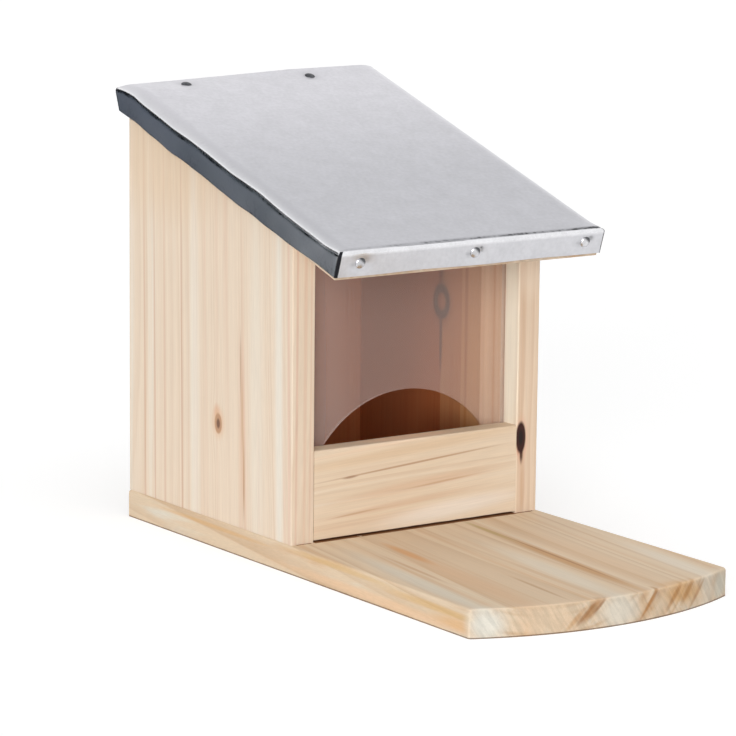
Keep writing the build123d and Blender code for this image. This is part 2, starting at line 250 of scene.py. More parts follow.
def spruce(name, fibre, pith, ring_width, pale, warm, cool, lines=0.5, line_colour="#BE9268", knots=(), marks=(),
           boxes=(inside,)):
    """Spruce with its fibres along the vector fibre. Lengths and places are in mm. The ring number is the
    distance from the pith line over the ring width. A knot at (spot, radii, hill, core, rim) adds a bell-shaped
    hill to that distance, so the rings flow round it. A mark at (spot, radii, colour, strength) tints a soft
    ellipsoid, and a fifth number tilts it round the fibres, in degrees. Radii are across, across and along the
    fibres. A box of (low corner, high corner, colour, waver) multiplies the wood inside it by its colour, and
    the waver makes its borders uneven."""
    material, tree = new_material(name)
    turn = Vector(fibre).rotation_difference(Vector((0, 0, 1)))
    position = node(tree, "TexCoord").outputs
    turned = mapped(tree, position["Object"], rotation=turn.to_euler("XYZ"))

    # Distance from a pith line that wanders slowly along the trunk
    slow = mapped(tree, turned, (1, 1, 1 / wander_stretch))
    wander = noise(tree, slow, wander_length, 1.0, gives="Color")
    centred = vector_step(tree, "ADD", wander, (-0.5, -0.5, -0.5))
    strayed, barely = (
        vector_step(tree, "MULTIPLY_ADD", centred, [2 * wander_reach * share] * 3, turned)
        for share in (1, mark_wander))
    pith_x, pith_y, _ = turn @ Vector(pith) * mm
    across = vector_step(tree, "MULTIPLY_ADD", strayed, (1, 1, 0), (-pith_x, -pith_y, 0))
    field = vector_step(tree, "LENGTH", across, gives="Value")

    def offsets(spot, radii, tilt=0):
        """Vector from a spot to each point, turned back by the tilt and counted in the radii."""
        return node(tree, "Mapping", {
            "Vector": barely, "Location": turn @ Vector(spot) * mm, "Rotation": (0, 0, math.radians(tilt)),
            "Scale": Vector(radii) * mm}, vector_type="TEXTURE").outputs["Vector"]

    # Knots: how far each point lies from one, and the hill that it raises in the rings
    reaches = []
    for spot, radii, hill, core, rim in knots:
        apart = offsets(spot, radii)
        reach = vector_step(tree, "DOT_PRODUCT", apart, apart, gives="Value")
        rise = step(tree, "EXPONENT", step(tree, "MULTIPLY", reach, knot_spread))
        field = step(tree, "MULTIPLY_ADD", rise, hill * mm, field)
        reaches.append((reach, core, rim))

    # How squarely each face cuts the fibres: one on the sawn ends, zero on the long faces
    facing = mapped(tree, position["Normal"], rotation=turn.to_euler("XYZ"))
    along = node(tree, "SeparateXYZ", {"Vector": facing}).outputs["Z"]
    end_on = carried(tree, step(tree, "ABSOLUTE", along), sawn_end_range)

    # Rings of uneven width and strength, blurred and darker on the sawn ends
    number = step(tree, "MULTIPLY", field, 1 / (ring_width * mm))
    drift = node(tree, "TexNoise", {"W": number, "Scale": ring_drift_rate, "Detail": 1.0}, noise_dimensions="1D")
    ring = step(tree, "MULTIPLY_ADD", drift.outputs["Fac"], ring_drift, number)
    part = step(tree, "FRACT", ring)
    chance = node(tree, "TexWhiteNoise", {"W": step(tree, "FLOOR", ring)}, noise_dimensions="1D")
    strength = carried(tree, chance.outputs["Value"], end=(faintest_ring * lines, lines))
    crisp = ramp(tree, part, (0.0, grey(0.2)), (1.0, grey(0.2)), (0.14, grey(0.0)), (0.5, grey(0.2)),
                 (0.85, grey(0.85)), (0.94, grey(1.0)))
    blurred = ramp(tree, part, (0.0, grey(0.1)), (1.0, grey(0.1)), (0.3, grey(0.2)), (0.65, grey(1.3)),
                   (0.8, grey(0.9)))
    amount = step(tree, "MULTIPLY", mix(tree, end_on, crisp, blurred), strength)

    # Broad strips of warmer and cooler wood under the ring lines
    stretched = mapped(tree, strayed, (1 / strip_width, 1 / strip_width, 1 / strip_length))
    tint = ramp(tree, noise(tree, stretched, 1.0, 4.0, 0.55), (0.28, linear(warm)), (0.72, linear(cool)),
                (0.45, linear(pale)), (0.58, linear(pale)))
    colour = mix(tree, amount, tint, linear(line_colour))

    # Marks and knots of this plank
    for spot, radii, mark_colour, mark_strength, *tilt in marks:
        apart = vector_step(tree, "LENGTH", offsets(spot, radii, *tilt), gives="Value")
        covering = carried(tree, apart, mark_border, (0.0, mark_strength), "SMOOTHSTEP")
        colour = mix(tree, covering, colour, linear(mark_colour))
    for reach, core, rim in reaches:
        eye = ramp(tree, reach, (0.0, linear(core)), (1.0, linear(rim)), (0.1, linear(core)), (0.38, linear(rim)))
        colour = mix(tree, carried(tree, reach, knot_border, way="SMOOTHSTEP"), colour, eye)

    # Fine fibres, and on the sawn ends slanting strokes where the saw tore them
    threads = mapped(tree, strayed, (1 / fibre_width, 1 / fibre_width, 1 / fibre_length))
    fibres = noise(tree, threads, 1.0, 3.0, 0.6)
    colour = mix(tree, 1.0, colour, ramp(tree, fibres, (0.3, grey(0.93)), (0.7, grey(1.03))), "MULTIPLY")
    slanted = mapped(tree, turned, rotation=(0, 0, saw_mark_slant))
    stroke = noise(
        tree, mapped(tree, slanted, (1 / saw_mark_width, 1 / saw_mark_length, 1 / saw_mark_length)), 1.0, 3.0)
    colour = mix(tree, end_on, colour, ramp(tree, stroke, (0.36, grey(0.77)), (0.62, grey(0.93))), "MULTIPLY")

    # Boxes that multiply the wood's colour. Most are painted shade: inside the house with bounce light, in the gap
    # under the front board, in the pane's grooves and at the foot of the side panels. Two more darken the base's
    # bottom edge and the front board's top front edge. Inside one, no coordinate counted from its middle in half
    # widths reaches one
    uneven = noise(tree, position["Object"], box_border_length, 3.0, gives="Color")
    for low, high, box_colour, waver in boxes:
        wavered = vector_step(tree, "MULTIPLY_ADD", uneven, [waver * mm] * 3, position["Object"])
        scale = [2 / ((upper - lower) * mm) for lower, upper in zip(low, high)]
        shift = [-(lower + upper + waver) / 2 * mm * share for lower, upper, share in zip(low, high, scale)]
        boxed = vector_step(tree, "ABSOLUTE", vector_step(tree, "MULTIPLY_ADD", wavered, scale, shift))
        each = node(tree, "SeparateXYZ", {"Vector": boxed}).outputs
        largest = step(tree, "MAXIMUM", step(tree, "MAXIMUM", each["X"], each["Y"]), each["Z"])
        colour = mix(tree, step(tree, "LESS_THAN", largest, 1.0), colour, linear(box_colour), "MULTIPLY")

    # Summer wood stands a hair proud of the planed face, and the fibres and saw strokes are faintly raised
    relief = step(tree, "MULTIPLY_ADD", amount, ring_relief, fibres)
    height = step(tree, "MULTIPLY_ADD", step(tree, "MULTIPLY", end_on, stroke), stroke_relief, relief)
    coat(tree, {
        "Base Color": colour, "Roughness": carried(tree, fibres, end=(0.56, 0.72)),
        "Normal": raised(tree, height, 0.4, wood_relief), "Specular IOR Level": 0.3})
    return material


# %% [markdown]
# ## One tree for each plank
# Every plank has its own fibre direction, pith and marks. The side panels carry the knots. The base is the
# liveliest plank: heartwood streaks run slightly askew along it. The roof board alone has no box of painted shade.

# %% The planks
# Painted shade in the thin gap under the front board.
gap = ((-48.7, 3.5, 10.9), (48.7, 15.2, 11.86), "#A0785A", 0.5)
groove_low_y, groove_high_y = 13.8, 16.3
board_top_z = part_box("front_board")[1][2] / mm
board_arris = ((-49, 0.5, board_top_z - 0.8), (49, 4.6, board_top_z + 1), "#E9CDAE", 0.0)
print("front board's top in mm", round(board_top_z, 2))
dress("left_side_panel", spruce(
    "planed_spruce_left_side", (0, 0.012, 1), (4, 134, 0), 2.7, "#E3D1BC", "#DCBFA8", "#E5DDCF", lines=0.25,
    knots=[((-59, 57, 50), (30, 2.5, 3.9), 1.9, "#7A5947", "#BC9373")],
    marks=[
        ((-59, 57.0, 50.5), (30, 6.2, 8.5), "#DDB897", 0.8),
        ((-59, 58.2, 54.5), (30, 3.0, 4.5), "#D6A684", 0.5),
        ((-59, 95, 150), (30, 60, 34), "#DDC3A5", 0.55),
        ((-59, 40.9, 74), (30, 0.8, 20), "#B58E74", 0.7),
        ((-59, 39.8, 55), (30, 0.8, 20), "#B08568", 0.8),
        ((-59, 38.6, 32), (30, 0.9, 22), "#AC7F60", 0.9),
        ((-59, 39.6, 48), (30, 2.4, 44), "#D9B79A", 0.6),
        ((-59, 74.5, 56), (30, 5.0, 150), "#E6DFD2", 0.6),
        ((-59, 30, 58), (30, 7.0, 130), "#E4DCCD", 0.5),
        ((-59, 13.9, 58), (30, 3.8, 150), "#E6E1D6", 0.65),
        ((-59, 7, 58), (30, 1.4, 150), "#DDBBA6", 0.6),
        ((-54, 4, 80), (7.5, 3.6, 150), "#DDCAB4", 0.75),
        ((-57, 5, 80), (0.8, 4, 150), "#D3AA92", 0.55),
        ((-53.2, 5, 80), (1.2, 4, 150), "#D9B69B", 0.5),
        ((-50.6, 5, 80), (0.6, 4, 150), "#D5AD90", 0.4),
        ((-59, 112.7, 50), (30, 1.0, 150), "#CFA88C", 0.65),
        ((-59, 109.0, 50), (30, 1.6, 150), "#E5DACA", 0.5),
        ((-59, 104.9, 50), (30, 0.8, 130), "#CDA488", 0.65),
        ((-59, 97.2, 50), (30, 1.3, 150), "#D4B096", 0.55),
        ((-59, 84.0, 50), (30, 0.9, 150), "#C9A085", 0.7)],
    # The last box is painted shade in the pane's groove.
    boxes=[inside, ((-52.7, groove_low_y, 11), (-48.5, groove_high_y, 160), "#8C6042", 0.0)]))
dress("right_side_panel", spruce(
    "planed_spruce_right_side", (0, 0, 1), (-20, -45, 0), 3.0, "#E0C9B1", "#D2AF92", "#E4D7C6", lines=0.4,
    knots=[
        ((48, 57, 89.6), (11, 5.4, 7.0), 2.0, "#B89D90", "#1C1210"),
        ((50.6, 5, 41.4), (2.3, 8, 6.2), 1.0, "#1A0906", "#33140D")],
    marks=[
        ((48.6, 90, 95), (2.5, 36, 120), "#CBB8AE", 0.75),
        # Painted light on the inner face just behind the pane.
        ((48.6, 34, 95), (2.5, 20, 110), "#EFCDAA", 0.7),
        ((48.6, 26, 95), (2.5, 2.2, 110), "#F6DDBF", 0.6),
        ((48.6, 40, 95), (2.5, 1.6, 90), "#C58D60", 0.75),
        ((48.6, 21, 95), (2.5, 0.9, 110), "#D29F76", 0.6),
        ((48, 57, 89.6), (8, 9.5, 14), "#7E635A", 0.75),
        ((48, 57.3, 74), (6, 1.7, 20), "#4A352D", 0.8),
        ((48, 57.3, 112), (6, 3.4, 26), "#5E463C", 0.65),
        # Painted shade low on the inner face, seen through the feeding hole.
        ((48.6, 48, 14), (2.5, 38, 42), "#7E482C", 0.85),
        # Painted light on the inner face in front of the pane.
        ((48.2, 9.5, 85), (1.5, 8, 120), "#FFF6E2", 1.0),
        # Painted light on the front face just under the roof, against the roof's shadow.
        ((53.8, 4, 109), (9, 4, 16), "#F3E0CA", 0.5),
        ((50.9, 5, 40.2), (3.8, 8, 13), "#D9A58A", 0.75),
        ((51.0, 5, 34.6), (1.2, 8, 5.4), "#38170E", 1.0),
        ((49.4, 5, 40.6), (1.5, 8, 7.8), "#A85A41", 0.8),
        ((51.9, 5, 22), (1.7, 8, 18), "#C9A282", 0.6)],
    boxes=[behind_knot, at_knot, before_knot, near_pane,
           # The last box is painted shade in the pane's groove.
           ((48.5, groove_low_y, 11), (52.7, groove_high_y, 160), "#C98A62", 0.0)]))
dress("back_panel", spruce(
    "planed_spruce_back", (0, 0, 1), (-70, 190, 0), 3.2, "#E2CFB9", "#D6B79B", "#E6DCCD", lines=0.4))
dress("front_board", spruce(
    "planed_spruce_front_board", (1, 0, 0.07), (0, 60, -30), 3.4, "#E1CDB4", "#D6B698", "#E8DDCE", lines=0.26,
    marks=[
        # Painted light on the top face, where the roof's overhang shades it.
        ((0, 10, board_top_z), (2.2, 6.5, 120), "#FFDDBE", 1.0),
        ((0, 5, 43.0), (3.2, 8, 90), "#DBBE9C", 0.6),
        ((-2, 5, 37.0), (0.6, 8, 60), "#B0845F", 0.7),
        ((-32, 5, 34.6), (0.7, 8, 5), "#8F6445", 0.6),
        ((2, 5, 28.5), (3.0, 8, 56), "#D3AD8C", 0.5),
        ((12, 5, 28.2), (0.6, 8, 26), "#BD9270", 0.5),
        ((-5, 5, 21.8), (1.9, 8, 50), "#D1AA89", 0.45),
        ((-30, 5, 20.0), (0.5, 8, 16), "#B98D6B", 0.5),
        ((18, 5, 17.0), (5.0, 8, 48), "#EADFD2", 0.75)],
    boxes=[inside, gap, board_arris]))
dress("base_board", spruce(
    "planed_spruce_base", (0.095, 1, 0), (-18, 0, 54), 4.6, "#DAC5AA", "#CFAC87", "#DAD3C4", lines=0.42,
    line_colour="#B18558",
    marks=[
        ((1, -85, 11), (7.0, 30, 75), "#DACFBC", 0.75),
        ((-52, -72, 11), (6.0, 5, 84), "#D3CBBB", 0.8),
        ((-34, -80, 11), (8.0, 30, 80), "#D1AB87", 0.55),
        ((27, -75, 11), (9.0, 30, 80), "#D3B493", 0.5),
        ((48, -100, 11), (6.5, 30, 60), "#DFD7C8", 0.6),
        ((14.5, -74, 11), (4.6, 30, 80), "#BD9162", 0.85),
        ((17.0, -62, 11), (0.8, 30, 60), "#976B42", 0.6),
        ((-28.5, -30, 11), (3.4, 30, 26), "#D29C69", 0.75),
        ((-19, -98, 11), (1.2, 30, 28), "#A97F57", 0.5),
        ((-41, -52, 11), (1.4, 30, 34), "#B98C66", 0.5),
        ((20.5, -15, 11), (2.0, 30, 26), "#B39A62", 0.7),
        ((-60, -92, 7.4), (14, 2.1, 52), "#D0A767", 0.6),
        ((-60, -30, 9.4), (14, 1.7, 50), "#D2AB6C", 0.5),
        ((-60, 60, 8.4), (14, 1.3, 60), "#D2A873", 0.6),
        ((-60, -60, 2.4), (14, 2.8, 150), "#E3C09C", 0.7),
        ((-60, -108, 4.0), (14, 3.2, 26), "#D9AC78", 0.7),
        ((-54, -114, 5.0), (11, 9, 9), "#DCD8CC", 0.95),
        ((-31, -121, 5.5), (16, 9, 10), "#D8C0A3", 0.85),
        ((-1.5, -125, 5.5), (13, 9, 9), "#D9D0C0", 0.9),
        ((-14.0, -124.4, 7.2), (2.6, 9, 6), "#AC7B48", 0.75, 40),
        ((-17.0, -124.0, 5.6), (1.3, 8, 6), "#9E6B3A", 0.6, 40),
        ((-20.5, -123.4, 4.6), (1.6, 8, 6), "#C2925F", 0.6, 40),
        ((-10.5, -124.6, 8.8), (0.9, 5, 5), "#8E5C30", 0.6, 40),
        ((14.4, -124.3, 8.6), (1.3, 9, 8), "#A8753F", 0.75, 32),
        ((11.6, -124.5, 5.4), (0.9, 9, 7), "#B07C48", 0.65, 32),
        ((31, -121.5, 7.6), (17, 6, 9), "#CFA26C", 0.8),
        ((26, -122.4, 7.0), (1.6, 9, 7), "#A87238", 0.6, 36),
        ((33.5, -120.8, 7.6), (1.8, 8, 7), "#AF7A40", 0.6, 36),
        ((40, -118.8, 6.2), (1.2, 8, 7), "#A5703A", 0.5, 36),
        ((55, -113, 5.5), (7, 8, 8), "#D3CCBC", 0.85)],
    # Painted shade inside the house and in the gap, a darker strip along the base's bottom edge, and painted shade
    # at the foot of each side panel's front edge.
    boxes=[inside, gap, ((-70, -140, -1), (70, 140, 0.5), "#A79C94", 0.3),
           ((49, 3.9, 10.9), (57, 6, 11.5), "#8A6248", 0.5), ((-57, 4.1, 10.9), (-50, 6, 11.5), "#9A7458", 0.5)]))
roof_spruce = spruce(
    "planed_spruce_roof_board", (0, 0.953, 0.304), (30, 0, 230), 3.4, "#DCC5AC", "#CDA986", "#E0D4C2", lines=0.45,
    boxes=())

# %% [markdown]
# ## The folded roof sheet
# The sheet is half a millimetre of galvanised steel, cut flat and folded down over the roof board at both sides
# and the front. Each point of its outer skin has a run down the slope, an offset from the middle and a drop
# below the top. Thin sheet never stays flat: beside each side fold it slopes off in a narrow shoulder, the
# folds' lower edges waver, the nails pull it in, and the rear left corner has been bent down.

# %% The sheet's sizes
pitch = math.radians(17.7)
half_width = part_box("roof_sheet")[1][0] - 0.01 * mm
rear_edge_y = 128 * mm
rear_edge_z = 180 * mm
sheet_length = 167 * mm
fold_depth = 10.2 * mm
bend_radius = 1.1 * mm
sheet_thickness = 0.5 * mm
rear_clip = 7.5 * mm
corner_seam = 0.5 * mm
shoulder_width = 7 * mm
shoulder_power = 1.7
shoulder_fade = 12 * mm
shoulder_start = 24 * mm
shoulder_at_rear, shoulder_at_front = 0.35, 0.12
shoulder_ripple, shoulder_ripple_length = 0.12 * mm, 6.5 * mm
shoulder_depth = 1.25 * mm
right_shoulder_depth = 0.9 * mm
shoulder_steps = np.array([(100, 12, 0.55), (58, 16, 0.7)]) * mm
shallow_place, shallow_width, shallow_rise = np.array([110, 7, 0.3]) * mm
corner_droop = 3.2 * mm
droop_start = 20 * mm
droop_width = 82 * mm
droop_length = 14 * mm
droop_power = 1.3
rear_sag = 0.3 * mm
rear_room = 1.26 * mm
wave_height = 0.2 * mm
wave_fade_rate = 12
crossed_waves = ((1.0, 5.1, 2.3), (0.6, 9.7, -3.1))
rear_dent_depth, rear_dent_radius = 0.4 * mm, 4 * mm
front_dent_depth, front_dent_radius = 0.7 * mm, 3 * mm
left_edge_hang = 1.9 * mm
front_nail_columns = np.array([-51.6, 1.4, 54.4]) * mm
front_nail_drop = 5.2 * mm
front_nail_sink = 0.5 * mm
rear_nail_columns = np.array([-34.0, 26.0]) * mm
rear_nail_run = 7.5 * mm
flat_length = sheet_length - bend_radius


def on_roof(offset, run, drop):
    """Points from sheet coordinates. With pitch p, y = rear edge - run cos p + drop sin p and
    z = rear edge - run sin p - drop cos p."""
    y = rear_edge_y - run * math.cos(pitch) + drop * math.sin(pitch)
    z = rear_edge_z - run * math.sin(pitch) - drop * math.cos(pitch)
    return np.stack(np.broadcast_arrays(offset, y, z), axis=-1)


def bell(squared, radius):
    """A smooth bump that falls to a third at the radius: exp(-d^2 / r^2)."""
    return np.exp(-squared / radius**2)


def eased(value):
    """Zero below zero, one above one, and 3 v^2 - 2 v^3 between."""
    value = np.clip(value, 0, 1)
    return value * value * (3 - 2 * value)


def shoulder(side, run):
    """The shoulder's depth at its crease and the lean there. On the left it deepens in two steps towards the rear,
    with one shallow place near the front and a slow sine. It fades at both ends, and the right one only at the
    front. The lean's tangent is power * depth / width."""
    steps = sum(rise * eased((place - run) / length) for place, length, rise in shoulder_steps)
    left = shoulder_depth + steps - shallow_rise * bell((run - shallow_place) ** 2, shallow_width)
    left = left + shoulder_ripple * np.sin(run / shoulder_ripple_length)
    left = left * (shoulder_at_rear + (1 - shoulder_at_rear) * eased(run / shoulder_start))
    depth = left if side < 0 else right_shoulder_depth
    depth = depth * eased((flat_length - run) / shoulder_fade + shoulder_at_front)
    return depth, np.arctan(shoulder_power * depth / shoulder_width)


def crease(side, run):
    """How far from the middle the side bend begins: half the width, less radius * (1 - sin lean)."""
    return half_width - bend_radius * (1 - np.sin(shoulder(side, run)[1]))


def sheet_drop(offset, run):
    """How far the real skin lies below a flat sheet: slow crossed sines, a bell at each rear nail, a power law
    over each shoulder, and a rear edge that sags in the middle and droops steadily to the left corner."""
    along = run / sheet_length
    across = offset / half_width
    inner = (np.clip((1 - across**2) * 4, 0, 1) * np.clip(along * wave_fade_rate, 0, 1)
             * np.clip((1 - along) * wave_fade_rate, 0, 1))
    waves = wave_height * inner * sum(
        height * np.sin(down_rate * along + side_rate * across) for height, down_rate, side_rate in crossed_waves)
    dents = sum(rear_dent_depth * bell((offset - column) ** 2 + (run - rear_nail_run) ** 2, rear_dent_radius)
                for column in rear_nail_columns)
    fallen = np.clip((droop_start - offset) / droop_width, 0, 1)
    lifted = np.clip(1 - run / droop_length, 0, 1) ** droop_power
    droop = (corner_droop * fallen + rear_sag * np.clip(1 - across**2, 0, 1)) * lifted
    slope = sum(
        shoulder(side, run)[0] * np.clip(
            (side * offset - half_width + shoulder_width) / (crease(side, run) - half_width + shoulder_width),
            0, 1) ** shoulder_power
        for side in (-1, 1))
    return waves + dents + droop + slope


def kept_in(run, drop):
    """The run, or the least run at which the rear edge stays within its room: (drop sin p - room) / cos p."""
    return np.maximum(run, (drop * math.sin(pitch) - rear_room) / math.cos(pitch))


def grid_faces(rows, columns, start=0):
    """Four-sided faces of a grid of points stored row by row. They face along the cross product of the direction
    from row to row and the direction from column to column."""
    corner = start + np.arange(rows - 1)[:, None] * columns + np.arange(columns - 1)[None, :]
    return np.stack([corner, corner + columns, corner + columns + 1, corner + 1], axis=-1).reshape(-1, 4)


def mesh_piece(name, points, faces, material, body, slot):
    """A smooth-shaded object at the origin from points and rows of point numbers, riding on a body."""
    mesh = bpy.data.meshes.new(name)
    mesh.from_pydata(points.reshape(-1, 3).tolist(), [], faces)
    mesh.polygons.foreach_set("use_smooth", np.ones(len(mesh.polygons), bool))
    mesh.materials.append(material)
    mesh.update()
    piece = bpy.data.objects.new(name, mesh)
    bpy.context.scene.collection.objects.link(piece)
    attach(piece, body)
    return piece


def point_number(piece, name, values):
    """Stores one number for each point of a piece, for its material to read."""
    piece.data.attributes.new(name, "FLOAT", "POINT").data.foreach_set("value", values.ravel())


# %% [markdown]
# ## Galvanised steel
# The coat is dull, with crystals too fine to read one by one, so it is a soft cloudiness over a slow fade from the
# bright upper edge to the greyer front, and that fade is a painted reflection. The bending tool has burnished the
# bends: there the zinc is smoother and mirrors the studio more clearly, and a painted highlight makes it brighter.
# Just behind the front bend a thin dark line is a painted reflection. Painted shadow lies in the front corner
# seams, painted dark reflections lie round the front nails, and elsewhere the sheet darkens in streaks, bands and
# blotches.

# %% Galvanised steel
# Painted reflection: the top zinc fades from light at the upper edge to greyer at the front.
zinc_upper_painted_bright = "#DBDADF"
zinc_lower_painted_dim = "#C5C5CA"
# Brighter zinc on the bends and folds: a painted highlight along with the real burnish.
zinc_burnished_highlight = "#EEEEF1"
# Dark zinc for painted shade and painted reflections, and for darker streaks, bands and blotches.
zinc_darkened = "#2A2B30"
cloud_length = 9 * mm
grain_length = 1.6 * mm
fade_start_y = 10 * mm
burnished_smoothness = -0.16
zinc_relief = 0.15 * mm


def galvanised_steel():
    """Hot-dip galvanised sheet: cloudy, with a painted reflection that fades down the slope, burnished bends with a
    painted highlight, and darkening, partly painted shade, where the mesh says so.
    """
    material, tree = new_material("galvanised_steel_dull")
    position = node(tree, "TexCoord").outputs["Object"]
    backward = node(tree, "SeparateXYZ", {"Vector": position}).outputs["Y"]
    clouds = noise(tree, position, cloud_length, 3.0, 0.6)
    grain = noise(tree, position, grain_length, 2.0)
    burnish_and_highlight, darkening_and_painted_shade = (
        node(tree, "Attribute", attribute_name=name).outputs["Fac"] for name in ("burnish_and_highlight", "darkening_and_painted_shade"))
    # Painted reflection: lighter up the slope, greyer towards the front.
    up_slope = carried(tree, backward, (fade_start_y, rear_edge_y), way="SMOOTHSTEP")
    plain = mix(tree, up_slope, linear(zinc_lower_painted_dim), linear(zinc_upper_painted_bright))
    bright = mix(tree, burnish_and_highlight, plain, linear(zinc_burnished_highlight))
    patchy = carried(tree, clouds, (0.35, 0.65), (0.35, 1.0))
    specks = carried(tree, grain, (0.45, 0.65), (0.65, 1.4))
    # How far the zinc is darkened, partly as painted shade, broken up by the clouds and grain.
    darkening_amount = step(tree, "MULTIPLY", darkening_and_painted_shade, step(tree, "MULTIPLY", patchy, specks), use_clamp=True)
    darkened_colour = mix(tree, darkening_amount, bright, linear(zinc_darkened))
    cloud_shade = ramp(tree, clouds, (0.3, grey(0.93)), (0.7, grey(1.02)))
    grain_shade = ramp(tree, grain, (0.3, grey(0.955)), (0.7, grey(1.035)))
    shade = mix(tree, 1.0, cloud_shade, grain_shade, "MULTIPLY")
    dull = carried(tree, clouds, end=(0.36, 0.48))
    coat(tree, {
        "Base Color": mix(tree, 1.0, darkened_colour, shade, "MULTIPLY"), "Metallic": 1.0,
        "Roughness": step(tree, "MULTIPLY_ADD", burnish_and_highlight, burnished_smoothness, dull),
        "Normal": raised(tree, clouds, 0.25, zinc_relief)})
    return material


# %% The sheet's skin
weld_distance = 0.02 * mm
fine_front, fine_side = 0.965, 0.88
right_wave = 0.15 * mm
left_wave, left_wave_peak, left_wave_length = 0.38 * mm, 36 * mm, 8.1 * mm
left_ripple, left_ripple_length = 0.12 * mm, 2.9 * mm
front_wave = 0.2 * mm
slow_sway, quick_sway = 0.22 * mm, 0.1 * mm
# A painted dark reflection in a thin line just behind the front bend.
dark_line_reflection, line_setback, line_width = 1.5, 1.1 * mm, 0.9 * mm
# Darker round each rear nail, along the left shoulder, in a band where the left bend ends, in blotches on the side
# flanges and along cut edges.
rear_nail_darkening, rear_nail_darkening_radius = 0.5, 3.4 * mm
shoulder_darkening = 0.3
bend_band_darkening, bend_band_turn, bend_band_width = 2.2, 0.98, 0.08
flange_blotching = 0.5
cut_edge_darkening = 0.8
# Painted shadow in the front corner seams.
left_seam_shadow, right_seam_shadow, left_seam_place = 6.0, 3.0, -0.98

# Painted dark reflections round each front nail: strength, way to the right, stretch sideways, way down and radius,
# in mm
nail_dark_reflections = ((0.7, -3.0, 1.6, 0.3, 0.9), (0.8, 1.9, 1.5, -1.5, 1.0))


def lower_edge(side, run):
    """Drop of a side fold's lower edge. The bent left fold hangs deepest at the rear and wavers as a cosine with
    about three full waves and a fine ripple, and the right one wavers only faintly."""
    along = np.clip(run / sheet_length, 0, 1)
    if side > 0:
        return fold_depth + right_wave * np.sin(19 * along) * np.sin(math.pi * along)
    waver = (left_wave * np.cos((run - left_wave_peak) / left_wave_length)
             + left_ripple * np.sin(run / left_ripple_length))
    return fold_depth + (left_edge_hang + waver) * eased(2.6 * (1 - along)) ** 0.5 * (1.02 - along) ** 0.35


